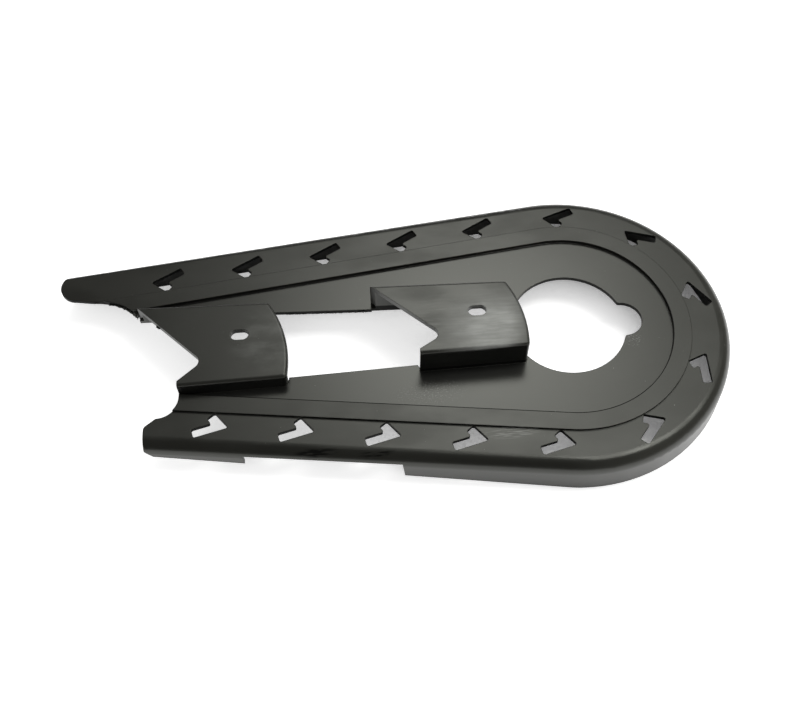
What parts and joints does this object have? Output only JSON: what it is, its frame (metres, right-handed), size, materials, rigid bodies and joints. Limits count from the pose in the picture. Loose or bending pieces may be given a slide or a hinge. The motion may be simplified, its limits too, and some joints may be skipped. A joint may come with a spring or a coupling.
{
  "type": "motorcycle chain guard",
  "caption": "Black moulded chain guard for a moped: rounded sprocket end with a crank opening, tapering legs, raised bridges with fixing slots, and arrow-shaped vents along a rolled rim.",
  "frame": {"origin": "On the crank axis, at the height of the foot of the rim round the sprocket end.", "axes": "+Z runs along the crank axis, out of the show face. The legs run back along -X. The far leg, the longer one, is on the +Y side and the near leg, with the cut-away rim, on the -Y side."},
  "size_m": [0.3642, 0.1758, 0.0375],
  "materials": {
    "guard_plastic": "satin black moulded plastic"
  },
  "bodies": {
    "root": {"chain_guard": "guard_plastic"}
  },
  "joints": []
}
